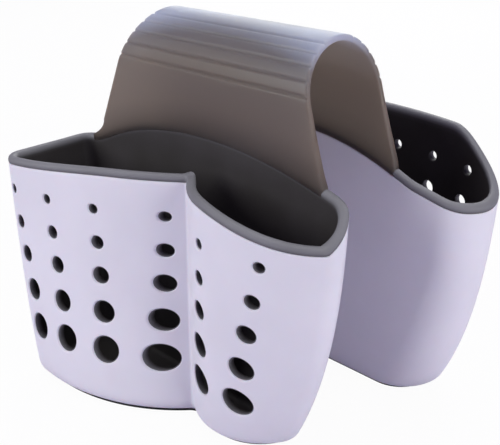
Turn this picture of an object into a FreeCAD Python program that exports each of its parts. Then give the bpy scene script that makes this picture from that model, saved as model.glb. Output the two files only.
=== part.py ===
"""Saddle sponge holder: two drained baskets joined by a flexible arched strap.

Frame: millimetres, +Z up, origin on the floor below the crown of the strap. X runs along the
strap's width and Y runs from the front basket (negative Y) to the back basket (positive Y).
Sizes called depth are measured outwards from the mid-plane Y = 0.
"""
import FreeCAD, Part
import math
import os

Vector = FreeCAD.Vector
Placement = FreeCAD.Placement
Rotation = FreeCAD.Rotation

# Driving dimensions, where a wall's size at the rim and at the base are two values
SIZES = {
    # walls, floor, lip and pad, shared by both baskets
    "pad_height": 1.5,
    "pad_overhang": 1.5,
    "shell_wall": 2.0,
    "liner_wall": 1.8,
    "lip_height": 3.0,
    "bottom_round": 6.5,
    "cavity_round": 2.0,
    "wall_top": 140.0,
    "taper_power": 3.0,
    # front basket: big lobe on the far side, small lobe on the near side, crease between them
    "front_inner_rim": 18.0,
    "front_inner_base": 18.5,
    "front_far_rim": -91.5,
    "front_far_base": -80.0,
    "front_near_rim": 68.0,
    "front_near_base": 44.5,
    "big_lobe_crest_rim": -92.0,
    "big_lobe_crest_base": -63.0,
    "big_lobe_depth_rim": 66.5,
    "big_lobe_depth_base": 69.0,
    "big_lobe_radius_rim": 140.0,
    "big_lobe_radius_base": 85.0,
    "small_lobe_reach_rim": 37.0,
    "small_lobe_reach_base": 27.0,
    "small_lobe_depth_rim": 52.0,
    "small_lobe_depth_base": 45.3,
    "small_lobe_radius_rim": 45.0,
    "small_lobe_radius_base": 29.5,
    "crease_radius": 3.0,
    "front_outer_corner": 9.0,
    "front_inner_corner": 8.0,
    # back basket: one long pocket with round ends
    "back_middle": 13.5,
    "back_half_rim": 78.0,
    "back_half_base": 50.5,
    "back_inner_rim": 18.0,
    "back_inner_base": 32.0,
    "back_depth_rim": 66.5,
    "back_depth_base": 69.0,
    "back_radius_rim": 170.0,
    "back_radius_base": 150.0,
    "back_corner_rim": 24.0,
    "back_corner_base": 10.5,
    # heights of the shells' top edges, and the lengths over which they rise and fall
    "front_rim": 107.5,
    "front_rim_low": 98.0,
    "front_rim_sweep": 56.0,
    "front_rim_far": 103.3,
    "front_far_sweep": 65.0,
    "back_rim": 121.5,
    "back_rim_low": 102.0,
    "back_rim_sweep": 37.0,
    "strap_root": 121.5,
    "root_softness": 0.12,
    "front_root_near": 68.0,
    "front_root_far": -78.0,
    "back_root_near": 63.0,
    "back_root_far": -47.0,
    "rim_blend": 12.0,
    # strap
    "crown_height": 166.5,
    "strap_radius": 22.0,
    "strap_thickness": 2.5,
    "strap_near_edge": 41.0,
    "strap_far_edge": -51.0,
    "near_edge_power": 1.3,
    "far_edge_power": 1.0,
    "front_foot_near": 53.0,
    "front_foot_far": -75.0,
    "back_foot_near": 56.0,
    "back_foot_far": -47.0,
    "foot_height": 116.0,
    "foot_fillet": 8.0,
    "groove_radius": 0.6,
    "groove_pitch": 5.5,
    "groove_start": 9.0,
    # drain holes: rows by height and upright bore, columns by their place at the first and last row
    # and by a hole's width over its height
    "hole_row_1": 92.5,
    "hole_row_2": 77.6,
    "hole_row_3": 62.7,
    "hole_row_4": 45.8,
    "hole_row_5": 28.0,
    "hole_bore_1": 4.5,
    "hole_bore_2": 6.2,
    "hole_bore_3": 8.0,
    "hole_bore_4": 10.6,
    "hole_bore_5": 13.1,
    "back_row_lift": 15.0,
    "front_column_1_top": -83.0,
    "front_column_1_end": -72.0,
    "front_column_1_width": 0.75,
    "front_column_2_top": -62.2,
    "front_column_2_end": -54.7,
    "front_column_2_width": 0.85,
    "front_column_3_top": -39.4,
    "front_column_3_end": -34.5,
    "front_column_3_width": 0.92,
    "front_column_4_top": -11.8,
    "front_column_4_end": -12.1,
    "front_column_4_width": 1.1,
    "front_column_5_top": 16.9,
    "front_column_5_end": 12.1,
    "front_column_5_width": 0.97,
    "front_column_6_top": 46.5,
    "front_column_6_end": 33.5,
    "front_column_6_width": 1.04,
    "back_column_middle": 18.5,
    "back_column_pitch_top": 20.0,
    "back_column_pitch_end": 16.0,
    "back_column_width": 0.95,
}
HOLE_ROWS = 5
FRONT_COLUMNS = 6
BACK_COLUMNS = 6
GROOVES_PER_SIDE = 5

FRONT = -1
BACK = 1

# Allowances that only have to be larger than the solids they cut
PAST_END = 30.0
PAST_DEPTH = 15.0
BELOW_FLOOR = 20.0
ABOVE_CROWN = 10.0
ROUND_STEPS = 3
WALL_STEPS = 4
RIM_SAMPLES = 31
EDGE_SAMPLES = 15

doc = FreeCAD.newDocument("sponge_holder")
sheet = doc.addObject("Spreadsheet::Sheet", "sizes")
for row, (alias, value) in enumerate(SIZES.items(), start=1):
    sheet.set("A%d" % row, alias)
    sheet.set("B%d" % row, str(value))
    sheet.setAlias("B%d" % row, alias)
doc.recompute()


def size(alias):
    """Driving dimension read back from the sheet."""
    return float(sheet.get(alias))


def tapered(name, z):
    """Size at height z: the wall leans out quickly above the base and stands upright at the rim."""
    rise = (z - size("pad_height")) / (size("wall_top") - size("pad_height"))
    share = 1 - (1 - rise) ** size("taper_power")
    base = size(name + "_base")
    return base + (size(name + "_rim") - base) * share


def ramp(x, start, end):
    """Smooth step from 0 at start to 1 at end."""
    share = min(max((x - start) / (end - start), 0.0), 1.0)
    return share * share * (3 - 2 * share)


# Plan outlines, as points (x, depth) with tangent arcs and lines between them

def towards(start, end, distance):
    """Point at a distance from start in the direction of end."""
    direction = end - start
    return start + direction * (distance / direction.Length)


def arc(centre, radius, start, end):
    """Points of an arc of under a half circle: start, middle, end."""
    middle = (start - centre) + (end - centre)
    return [start, centre + middle * (radius / middle.Length), end]


def upper_crossing(centre_a, radius_a, centre_b, radius_b):
    """Crossing of two circles on the side of larger depth."""
    span = centre_b - centre_a
    along = (radius_a ** 2 - radius_b ** 2 + span.Length ** 2) / (2 * span.Length)
    across = math.sqrt(radius_a ** 2 - along ** 2)
    direction = span * (1 / span.Length)
    normal = Vector(-direction.y, direction.x, 0)
    return centre_a + direction * along + normal * across


def front_outline(z, inset):
    """Front basket at height z, moved inwards by inset: every arc keeps its centre."""
    inner = tapered("front_inner", z) + inset
    far = tapered("front_far", z) + inset
    near = tapered("front_near", z) - inset
    big_radius = tapered("big_lobe_radius", z)
    big = Vector(tapered("big_lobe_crest", z), tapered("big_lobe_depth", z) - big_radius, 0)
    big_radius -= inset
    small_radius = tapered("small_lobe_radius", z)
    small_crest = tapered("front_near", z) - tapered("small_lobe_reach", z)
    small = Vector(small_crest, tapered("small_lobe_depth", z) - small_radius, 0)
    small_radius -= inset

    # the near end is one arc that touches the inner wall, the end and the small lobe
    reach = near - small.x
    rise = inner - small.y
    half = rise - reach + small_radius
    end_radius = math.sqrt(half ** 2 - reach ** 2 - rise ** 2 + small_radius ** 2) - half
    end = Vector(near - end_radius, inner + end_radius, 0)
    end_foot = Vector(end.x, inner, 0)
    end_top = towards(small, end, small_radius)

    # the crease is a hollow arc that touches both lobes from outside
    hollow_radius = size("crease_radius") + inset
    hollow = upper_crossing(big, big_radius + hollow_radius, small, small_radius + hollow_radius)
    hollow_near = towards(small, hollow, small_radius)
    hollow_far = towards(big, hollow, big_radius)

    # the far end is a short wall between two round corners
    outer_radius = size("front_outer_corner") - inset
    outer_x = far + outer_radius
    outer_depth = big.y + math.sqrt((big_radius - outer_radius) ** 2 - (outer_x - big.x) ** 2)
    outer = Vector(outer_x, outer_depth, 0)
    outer_top = towards(big, outer, big_radius)
    outer_foot = Vector(far, outer.y, 0)
    corner_radius = size("front_inner_corner") - inset
    corner = Vector(far + corner_radius, inner + corner_radius, 0)
    corner_top = Vector(far, corner.y, 0)
    corner_foot = Vector(corner.x, inner, 0)
    return [
        [corner_foot, end_foot],
        arc(end, end_radius, end_foot, end_top),
        arc(small, small_radius, end_top, hollow_near),
        arc(hollow, hollow_radius, hollow_near, hollow_far),
        arc(big, big_radius, hollow_far, outer_top),
        arc(outer, outer_radius, outer_top, outer_foot),
        [outer_foot, corner_top],
        arc(corner, corner_radius, corner_top, corner_foot),
    ]


def back_outline(z, inset):
    """Back basket at height z, moved inwards by inset: a flat inner wall and a long outer arc."""
    middle = size("back_middle")
    inner = tapered("back_inner", z) + inset
    depth = tapered("back_depth", z)
    wall_radius = tapered("back_radius", z)
    wall = Vector(middle, depth - wall_radius, 0)
    wall_radius -= inset
    half = tapered("back_half", z) - inset
    room = (depth - tapered("back_inner", z)) / 2
    corner_radius = min(tapered("back_corner", z), room) - inset

    corner_reach = half - corner_radius
    corner_depth = wall.y + math.sqrt((wall_radius - corner_radius) ** 2 - corner_reach ** 2)
    heel_radius = corner_depth - inner
    pieces = []
    ends = []
    for side in (1, -1):
        corner = Vector(middle + side * corner_reach, corner_depth, 0)
        heel = Vector(middle + side * (half - heel_radius), corner_depth, 0)
        heel_foot = Vector(heel.x, inner, 0)
        widest = Vector(middle + side * half, corner_depth, 0)
        corner_top = towards(wall, corner, wall_radius)
        heel_arc = arc(heel, heel_radius, heel_foot, widest)
        corner_arc = arc(corner, corner_radius, widest, corner_top)
        pieces.append((heel_arc, corner_arc))
        ends.append((heel_foot, corner_top))
    near, far = pieces
    return [
        [ends[1][0], ends[0][0]],
        near[0],
        near[1],
        arc(wall, wall_radius, ends[0][1], ends[1][1]),
        far[1][::-1],
        far[0][::-1],
    ]


OUTLINES = {FRONT: front_outline, BACK: back_outline}
NAMES = {FRONT: "front", BACK: "back"}


def outline_wire(side, z, inset):
    """Closed wire of a basket's plan outline at height z."""
    edges = []
    for points in OUTLINES[side](z, inset):
        placed = [Vector(point.x, side * point.y, z) for point in points]
        if len(placed) == 2:
            edges.append(Part.LineSegment(*placed).toShape())
        else:
            edges.append(Part.Arc(*placed).toShape())
    return Part.Wire(edges)


# Baskets

def add_feature(name, shape):
    """Construction feature with a shape of its own."""
    feature = doc.addObject("Part::Feature", name)
    feature.Shape = shape
    return feature


def add_link(kind, name, **links):
    """Document object of a given kind with its linked objects and settings."""
    made = doc.addObject(kind, name)
    for key, value in links.items():
        setattr(made, key, value)
    return made


def cut(name, base, tool):
    """Base with the tool taken away."""
    return add_link("Part::Cut", name, Base=base, Tool=tool, Refine=False)


def common(name, *shapes):
    """What the shapes share."""
    return add_link("Part::MultiCommon", name, Shapes=list(shapes), Refine=False)


def loft(side, name, stations):
    """Solid through a basket's outlines at stations of (height, inset)."""
    sections = []
    for number, (z, inset) in enumerate(stations, start=1):
        sections.append(add_feature("%s_section_%d" % (name, number), outline_wire(side, z, inset)))
    return add_link("Part::Loft", name, Sections=sections, Solid=True, Ruled=False)


def basket_solid(side, name, wall, round_radius):
    """Solid of a basket's outside moved inwards by a wall: leaning walls on a rounded floor."""
    floor = size("pad_height") + wall
    floor_stations = []
    for step in range(ROUND_STEPS + 1):
        turn = math.pi / 2 * step / ROUND_STEPS
        z = floor + round_radius * (1 - math.cos(turn))
        floor_stations.append((z, wall + round_radius * (1 - math.sin(turn))))
    first = floor + round_radius
    wall_stations = []
    for step in range(WALL_STEPS + 1):
        wall_stations.append((first + (size("wall_top") - first) * step / WALL_STEPS, wall))
    walls = loft(side, name + "_walls", wall_stations)
    floor_part = loft(side, name + "_floor", floor_stations)
    return add_link("Part::MultiFuse", name, Shapes=[walls, floor_part], Refine=False)


def front_rim_heights(x):
    """Heights of the front shell's top edge over x, on its inner and its outer wall."""
    near = size("front_near_rim") + size("lip_height")
    far = size("lip_height") - size("front_far_rim")
    rim = size("front_rim")
    far_fall = (rim - size("front_rim_far")) * ramp(-x, far - size("front_far_sweep"), far)
    near_fall = (rim - size("front_rim_low")) * ramp(x, near - size("front_rim_sweep"), near)
    return root_height(FRONT, x, rim - far_fall), rim - far_fall - near_fall


def back_rim_heights(x):
    """Heights of the back shell's top edge over x, on its inner and its outer wall."""
    reach = abs(x - size("back_middle"))
    end = size("back_half_rim") + size("lip_height")
    fall = ramp(reach, end - size("back_rim_sweep"), end)
    low = size("back_rim_low")
    shoulder = size("front_rim") - (size("front_rim") - low) * fall
    return root_height(BACK, x, shoulder), size("back_rim") - (size("back_rim") - low) * fall


def root_height(side, x, shoulder):
    """Inner wall's top edge: a parabola under the strap that runs out softly into the shoulder."""
    near = size(NAMES[side] + "_root_near")
    far = size(NAMES[side] + "_root_far")
    share = 1 - ((2 * x - near - far) / (near - far)) ** 2
    raised = (share + math.hypot(share, size("root_softness"))) / 2
    return shoulder + (size("strap_root") - shoulder) * raised


RIM_HEIGHTS = {FRONT: front_rim_heights, BACK: back_rim_heights}


def under_rim(side, name, lift):
    """Everything below a basket's top edge raised by lift.

    The inner wall's height holds over that wall's thickness and then blends into the outer height.
    """
    inner = size(NAMES[side] + "_inner_rim")
    wall = inner + size("shell_wall") + size("liner_wall")
    outer = max(size("back_depth_base"), size("big_lobe_depth_base"))
    low_x = min(size("front_far_rim"), size("back_middle") - size("back_half_rim")) - PAST_END
    high_x = max(size("front_near_rim"), size("back_middle") + size("back_half_rim")) + PAST_END
    stations = (
        (inner - PAST_DEPTH, 0),
        (wall, 0),
        (wall + size("rim_blend"), 1),
        (outer + PAST_DEPTH, 1),
    )
    sections = []
    for depth, which in stations:
        points = []
        for step in range(RIM_SAMPLES):
            x = low_x + (high_x - low_x) * step / (RIM_SAMPLES - 1)
            points.append(Vector(x, side * depth, RIM_HEIGHTS[side](x)[which] + lift))
        curve = Part.BSplineCurve()
        curve.interpolate(points)
        low_end = Vector(low_x, side * depth, -BELOW_FLOOR)
        high_end = Vector(high_x, side * depth, -BELOW_FLOOR)
        wire = Part.Wire([
            curve.toShape(),
            Part.LineSegment(points[-1], high_end).toShape(),
            Part.LineSegment(high_end, low_end).toShape(),
            Part.LineSegment(low_end, points[0]).toShape(),
        ])
        sections.append(add_feature("%s_section_%d" % (name, len(sections) + 1), wire))
    return add_link("Part::Loft", name, Sections=sections, Solid=True, Ruled=True)


def oval_face(centre, half_width, half_height):
    """Face of an upright oval in a plane across Y."""
    reaches = [Vector(half_width, 0, 0), Vector(0, 0, half_height)]
    reaches.sort(key=lambda reach: reach.Length, reverse=True)
    edge = Part.Ellipse(centre + reaches[0], centre + reaches[1], centre).toShape()
    return Part.Face(Part.Wire([edge]))


def drain_holes(side, name, columns, lift, start):
    """Oval bars along Y, one per hole, which grow from the top row to the bottom row."""
    first = size("hole_row_1")
    last = size("hole_row_%d" % HOLE_ROWS)
    length = size("back_depth_rim") + PAST_DEPTH - start
    cutters = []
    for column, (x_top, x_end, width) in enumerate(columns, start=1):
        for row in range(1, HOLE_ROWS + 1):
            stem = "%s_%d_%d" % (name, column, row)
            height = size("hole_row_%d" % row)
            radius = size("hole_bore_%d" % row) / 2
            x = x_end + (x_top - x_end) * (height - last) / (first - last)
            oval = oval_face(Vector(x, side * start, height + lift), radius * width, radius)
            face = add_feature(stem + "_face", oval)
            cutters.append(add_link("Part::Extrusion", stem, Base=face, DirMode="Custom",
                                    Dir=Vector(0, side, 0), LengthFwd=length, Solid=True))
    return add_link("Part::Compound", name, Links=cutters)


def basket(side, columns, row_lift, hole_start):
    """Shell, liner with lip, and base pad of one basket."""
    name = NAMES[side]
    both_walls = size("shell_wall") + size("liner_wall")
    outside = basket_solid(side, name + "_outside", 0.0, size("bottom_round"))
    shell_inside = basket_solid(side, name + "_shell_inside", size("shell_wall"),
                                size("bottom_round") - size("shell_wall"))
    liner_inside = basket_solid(side, name + "_liner_inside", both_walls, size("cavity_round"))
    below_rim = under_rim(side, name + "_below_rim", 0.0)
    below_lip = under_rim(side, name + "_below_lip", size("lip_height"))
    holes = drain_holes(side, name + "_holes", columns, row_lift, hole_start)

    trimmed = common(name + "_trimmed", outside, below_rim)
    blank = cut(name + "_shell_blank", trimmed, shell_inside)
    shell = cut(name + "_shell", blank, holes)
    shell.Label = name + "_shell"

    full = common(name + "_full", outside, below_lip)
    thick = cut(name + "_thick", full, liner_inside)
    lining = cut(name + "_lining", thick, blank)
    liner = cut(name + "_liner", lining, holes)
    liner.Label = name + "_liner"

    pad_inset = size("bottom_round") - size("pad_overhang")
    wire = outline_wire(side, size("pad_height"), pad_inset)
    wire.translate(Vector(0, 0, -size("pad_height")))
    face = add_feature(name + "_pad_face", Part.Face(wire))
    pad = add_link("Part::Extrusion", name + "_base_pad", Base=face, DirMode="Custom", Dir=Vector(0, 0, 1),
                   Solid=True)
    pad.setExpression("LengthFwd", "sizes.pad_height")
    pad.Label = name + "_base_pad"
    return shell, liner, pad, below_lip


front_columns = []
for column in range(1, FRONT_COLUMNS + 1):
    stem = "front_column_%d" % column
    front_columns.append((size(stem + "_top"), size(stem + "_end"), size(stem + "_width")))
back_columns = []
for column in range(BACK_COLUMNS):
    place = column - (BACK_COLUMNS - 1) / 2
    x_top = size("back_column_middle") + place * size("back_column_pitch_top")
    x_end = size("back_column_middle") + place * size("back_column_pitch_end")
    back_columns.append((x_top, x_end, size("back_column_width")))

front_start = size("front_inner_base") + size("bottom_round")
back_start = size("back_inner_base") + size("bottom_round")
front_parts = basket(FRONT, front_columns, 0.0, front_start)
back_parts = basket(BACK, back_columns, size("back_row_lift"), back_start)


# Strap

def strap_profile():
    """Section of the strap across Y: two legs that stand on the inner walls, and a round arch."""
    radius = size("strap_radius")
    inner_radius = radius - size("strap_thickness")
    centre_z = size("crown_height") - radius
    foot_z = size("front_rim_low")
    gap = size("front_inner_rim")
    foot = gap + size("shell_wall") + size("liner_wall")

    def point(y, z):
        return Vector(0, y, z)

    crown = point(0, centre_z + radius)
    under_crown = point(0, centre_z + inner_radius)
    edges = [
        Part.LineSegment(point(-foot, foot_z), point(-radius, centre_z)),
        Part.Arc(point(-radius, centre_z), crown, point(radius, centre_z)),
        Part.LineSegment(point(radius, centre_z), point(foot, foot_z)),
        Part.LineSegment(point(foot, foot_z), point(gap, foot_z)),
        Part.LineSegment(point(gap, foot_z), point(inner_radius, centre_z)),
        Part.Arc(point(inner_radius, centre_z), under_crown, point(-inner_radius, centre_z)),
        Part.LineSegment(point(-inner_radius, centre_z), point(-gap, foot_z)),
        Part.LineSegment(point(-gap, foot_z), point(-foot, foot_z)),
    ]
    return Part.Face(Part.Wire([edge.toShape() for edge in edges]))


def strap_edge(crown_x, foot_x, power):
    """One side edge of a leg, seen along Y: it spreads to the foot and fillets into the rim."""
    outward = 1 if foot_x > crown_x else -1
    crown = size("crown_height")
    foot_z = size("foot_height")
    low = size("front_rim_low")
    points = []
    for step in range(EDGE_SAMPLES):
        z = low + (crown - low) * step / (EDGE_SAMPLES - 1)
        spread = min((crown - z) / (crown - foot_z), 1.0) ** power
        x = crown_x + (foot_x - crown_x) * spread
        drop = max(foot_z - z, 0.0) / (foot_z - size("front_rim"))
        points.append(Vector(x + outward * size("foot_fillet") * drop ** 2, 0, z))
    curve = Part.BSplineCurve()
    curve.interpolate(points)
    return curve.toShape(), points[0], points[-1]


def strap_trim(side):
    """Block that trims the strap's width over one basket."""
    name = NAMES[side]
    near, near_low, near_high = strap_edge(size("strap_near_edge"), size(name + "_foot_near"),
                                           size("near_edge_power"))
    far, far_low, far_high = strap_edge(size("strap_far_edge"), size(name + "_foot_far"),
                                        size("far_edge_power"))
    above = Vector(0, 0, ABOVE_CROWN)
    edges = [
        near,
        Part.LineSegment(near_high, near_high + above).toShape(),
        Part.LineSegment(near_high + above, far_high + above).toShape(),
        Part.LineSegment(far_high + above, far_high).toShape(),
        far,
        Part.LineSegment(far_low, near_low).toShape(),
    ]
    face = add_feature(name + "_trim_face", Part.Face(Part.Wire(Part.__sortEdges__(edges))))
    return add_link("Part::Extrusion", name + "_trim", Base=face, DirMode="Custom", Dir=Vector(0, side, 0),
                    LengthFwd=size("strap_radius") + PAST_DEPTH, Solid=True)


def strap_grooves():
    """Grip grooves across the outside of the arch, evenly spaced along its curve on both sides."""
    radius = size("strap_radius")
    centre_z = size("crown_height") - radius
    low_x = min(size("front_foot_far"), size("back_foot_far"))
    high_x = max(size("front_foot_near"), size("back_foot_near"))
    cutters = []
    for side in (FRONT, BACK):
        for number in range(GROOVES_PER_SIDE):
            turn = (size("groove_start") + number * size("groove_pitch")) / radius
            cutter = doc.addObject("Part::Cylinder", "%s_groove_%d" % (NAMES[side], number + 1))
            cutter.setExpression("Radius", "sizes.groove_radius")
            cutter.Height = high_x - low_x
            place = Vector(low_x, side * radius * math.sin(turn), centre_z + radius * math.cos(turn))
            cutter.Placement = Placement(place, Rotation(Vector(0, 1, 0), 90))
            cutters.append(cutter)
    return add_link("Part::Compound", "strap_grooves", Links=cutters)


def saddle_strap(front_lip, back_lip):
    """Strap trimmed to its width, grooved, and seated on both lips."""
    length = size("front_near_rim") - size("front_far_rim")
    profile = add_feature("strap_profile", strap_profile())
    long_arch = add_link("Part::Extrusion", "long_arch", Base=profile, DirMode="Custom", Dir=Vector(1, 0, 0),
                         LengthFwd=length, LengthRev=length, Solid=True)
    both_trims = [strap_trim(FRONT), strap_trim(BACK)]
    trims = add_link("Part::MultiFuse", "strap_trims", Shapes=both_trims, Refine=False)
    trimmed = common("trimmed_arch", long_arch, trims)
    seated = cut("arch_on_front", trimmed, front_lip)
    both = cut("arch_on_both", seated, back_lip)
    strap = cut("saddle_strap", both, strap_grooves())
    strap.Label = "saddle_strap"
    return strap


strap = saddle_strap(front_parts[3], back_parts[3])
doc.recompute()

# Checks and files
sub_parts = list(front_parts[:3]) + list(back_parts[:3]) + [strap]
for item in doc.Objects:
    if "Invalid" in item.State or "Error" in item.State:
        raise RuntimeError("%s failed: %s" % (item.Name, item.State))
os.makedirs("parts", exist_ok=True)
for piece in sub_parts:
    shape = piece.Shape
    if shape.isNull() or not shape.isValid():
        raise RuntimeError("%s has no valid shape" % piece.Label)
    if len(shape.Solids) != 1:
        raise RuntimeError("%s has %d solids" % (piece.Label, len(shape.Solids)))
for piece in sub_parts:
    box = piece.Shape.BoundBox
    print("%s volume %.0f mm3, X %.1f to %.1f, Y %.1f to %.1f, Z %.1f to %.1f" % (
        piece.Label, piece.Shape.Volume, box.XMin, box.XMax, box.YMin, box.YMax, box.ZMin, box.ZMax))
    piece.Shape.exportStep("parts/%s.step" % piece.Label)
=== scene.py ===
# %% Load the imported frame
import math
from types import SimpleNamespace as Group

import bmesh
import bpy
import numpy as np
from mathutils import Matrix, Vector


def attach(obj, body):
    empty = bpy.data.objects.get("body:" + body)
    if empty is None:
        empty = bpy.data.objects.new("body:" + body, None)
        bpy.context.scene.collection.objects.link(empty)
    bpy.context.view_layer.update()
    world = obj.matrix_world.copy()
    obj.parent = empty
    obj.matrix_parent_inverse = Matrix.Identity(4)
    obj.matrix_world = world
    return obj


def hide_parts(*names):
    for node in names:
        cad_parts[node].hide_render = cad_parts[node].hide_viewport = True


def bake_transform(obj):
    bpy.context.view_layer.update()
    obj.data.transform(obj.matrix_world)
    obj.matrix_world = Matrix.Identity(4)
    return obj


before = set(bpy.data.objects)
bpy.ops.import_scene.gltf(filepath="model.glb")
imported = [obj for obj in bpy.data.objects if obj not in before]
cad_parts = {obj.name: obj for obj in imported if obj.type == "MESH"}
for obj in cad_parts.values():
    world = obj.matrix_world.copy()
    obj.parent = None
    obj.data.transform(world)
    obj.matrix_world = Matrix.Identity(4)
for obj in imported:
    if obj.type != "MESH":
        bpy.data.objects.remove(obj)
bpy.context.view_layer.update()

# %% [markdown]
# ## A saddle sponge holder
# Two drained baskets hang over a sink divider on a soft arched strap. Each basket is a hard pale
# shell with a soft grey liner whose lip rolls over the shell's top edge. All sizes below are in
# millimetres and repeat the sizes of the solids, so that every surface lies on its solid. Only the
# crease is rounded less than on the solid, which keeps it a crisp line.

# %% Sizes
SIZE = {
    "pad_height": 1.5, "shell_wall": 2.0, "liner_wall": 1.8, "lip_height": 3.0,
    "bottom_round": 6.5, "cavity_round": 2.0, "wall_top": 140.0, "taper_power": 3.0,
    "front_inner_rim": 18.0, "front_inner_base": 18.5,
    "front_far_rim": -91.5, "front_far_base": -80.0,
    "front_near_rim": 68.0, "front_near_base": 44.5,
    "big_lobe_crest_rim": -92.0, "big_lobe_crest_base": -63.0,
    "big_lobe_depth_rim": 66.5, "big_lobe_depth_base": 69.0,
    "big_lobe_radius_rim": 140.0, "big_lobe_radius_base": 85.0,
    "small_lobe_reach_rim": 37.0, "small_lobe_reach_base": 27.0,
    "small_lobe_depth_rim": 52.0, "small_lobe_depth_base": 45.3,
    "small_lobe_radius_rim": 45.0, "small_lobe_radius_base": 29.5,
    "crease_radius": 1.5, "front_outer_corner": 9.0, "front_inner_corner": 8.0,
    "back_middle": 13.5, "back_half_rim": 78.0, "back_half_base": 50.5,
    "back_inner_rim": 18.0, "back_inner_base": 32.0,
    "back_depth_rim": 66.5, "back_depth_base": 69.0,
    "back_radius_rim": 170.0, "back_radius_base": 150.0,
    "back_corner_rim": 24.0, "back_corner_base": 10.5,
    "front_rim": 107.5, "front_rim_low": 98.0, "front_rim_sweep": 56.0,
    "front_rim_far": 103.3, "front_far_sweep": 65.0,
    "back_rim": 121.5, "back_rim_low": 102.0, "back_rim_sweep": 37.0,
    "strap_root": 121.5, "root_softness": 0.12, "rim_blend": 12.0,
    "front_root_near": 68.0, "front_root_far": -78.0,
    "back_root_near": 63.0, "back_root_far": -47.0,
    "crown_height": 166.5, "strap_radius": 22.0, "strap_thickness": 2.5,
    "strap_near_edge": 41.0, "strap_far_edge": -51.0,
    "near_edge_power": 1.3, "far_edge_power": 1.0,
    "front_foot_near": 53.0, "front_foot_far": -75.0,
    "back_foot_near": 56.0, "back_foot_far": -47.0,
    "foot_height": 116.0, "foot_fillet": 8.0,
    "groove_radius": 0.6, "groove_pitch": 5.5, "groove_start": 9.0,
    "back_row_lift": 15.0, "back_column_middle": 18.5,
    "back_column_pitch_top": 20.0, "back_column_pitch_end": 16.0,
}
# drain holes from the bottom row up, and their columns from the far end to the near end
HOLE_ROWS = np.array([28.0, 45.8, 62.7, 77.6, 92.5])
HOLE_RADII = np.array([13.1, 10.6, 8.0, 6.2, 4.5]) / 2
FRONT_COLUMNS_TOP = np.array([-83.0, -62.2, -39.4, -11.8, 16.9, 46.5])
FRONT_COLUMNS_END = np.array([-72.0, -54.7, -34.5, -12.1, 12.1, 33.5])
FRONT_HOLE_WIDTHS = np.array([0.75, 0.85, 0.92, 1.1, 0.97, 1.04])
BACK_PLACES = np.arange(6) - 2.5
BACK_COLUMNS_TOP = SIZE["back_column_middle"] + BACK_PLACES * SIZE["back_column_pitch_top"]
BACK_COLUMNS_END = SIZE["back_column_middle"] + BACK_PLACES * SIZE["back_column_pitch_end"]
BACK_HOLE_WIDTHS = np.full(6, 0.95)
FRONT = -1
BACK = 1
MM = 0.001
LIP = SIZE["lip_height"]
BOTH_WALLS = SIZE["shell_wall"] + SIZE["liner_wall"]


def smooth_step(x, start, end):
    """0 before start and 1 after end, with a cubic ease between."""
    share = np.clip((x - start) / (end - start), 0, 1)
    return share * share * (3 - 2 * share)


def tapered(name, z):
    """Size at height z: base plus the difference to the rim times 1 - (1 - rise) to a power."""
    rise = (z - SIZE["pad_height"]) / (SIZE["wall_top"] - SIZE["pad_height"])
    share = 1 - (1 - rise) ** SIZE["taper_power"]
    return SIZE[name + "_base"] + (SIZE[name + "_rim"] - SIZE[name + "_base"]) * share


print("hole rows", HOLE_ROWS, "radii", HOLE_RADII)

# %% [markdown]
# ## Plan outlines
# Seen from above, the front basket is two bulging lobes that meet in a sharp crease, and the back
# basket is one long pocket with round ends. Both outlines are circular arcs that touch one
# another, so the depth of a wall at a given x is the height of a circle. A lining at a given
# inset keeps every centre and only changes the radii.


# %% Arcs of the two outlines
def circle_depth(x, centre_x, centre_depth, radius, side=1):
    """Depth of a circle at x: the centre's depth plus or minus the square root of r2 - dx2."""
    return centre_depth + side * np.sqrt(np.maximum(radius ** 2 - (x - centre_x) ** 2, 0))


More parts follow.
